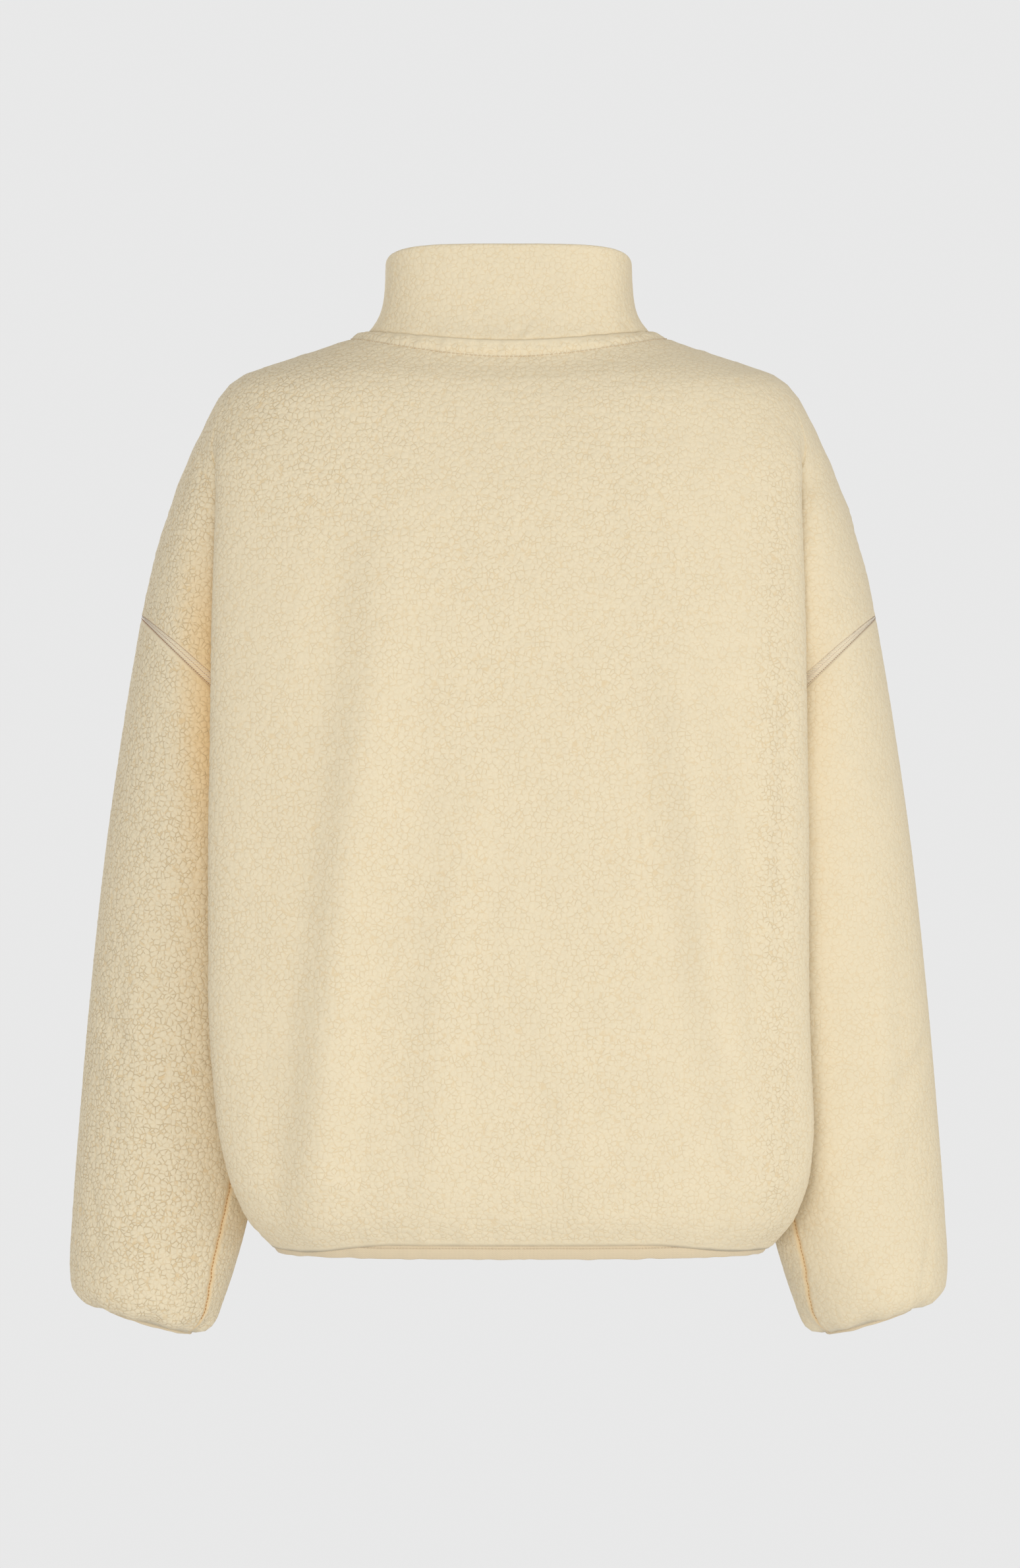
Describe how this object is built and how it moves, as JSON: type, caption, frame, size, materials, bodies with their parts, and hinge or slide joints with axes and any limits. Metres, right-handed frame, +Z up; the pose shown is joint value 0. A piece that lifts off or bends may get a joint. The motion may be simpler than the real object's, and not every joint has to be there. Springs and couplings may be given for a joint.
{
  "type": "fleece pullover",
  "caption": "Boxy sherpa-fleece pullover with a stand collar, dropped shoulders, wide drawn-in sleeves and a bound hem, filled out as if worn.",
  "frame": {"origin": "centre of the neck, level with where the shoulder seams meet the collar", "axes": "+Z up, -Y the wearer's front, +X the wearer's left"},
  "size_m": [0.5994, 0.2734, 0.7434],
  "materials": {
    "fleece": "cream sherpa fleece pile",
    "binding": "smooth cream stretch binding",
    "thread": "rosy brown sewing thread"
  },
  "bodies": {
    "root": {"back": "fleece", "front": "fleece", "sleeve_left": "fleece", "sleeve_right": "fleece", "collar": "fleece", "hem_binding": "binding", "cuff_binding_left": "binding", "cuff_binding_right": "binding"}
  },
  "joints": []
}
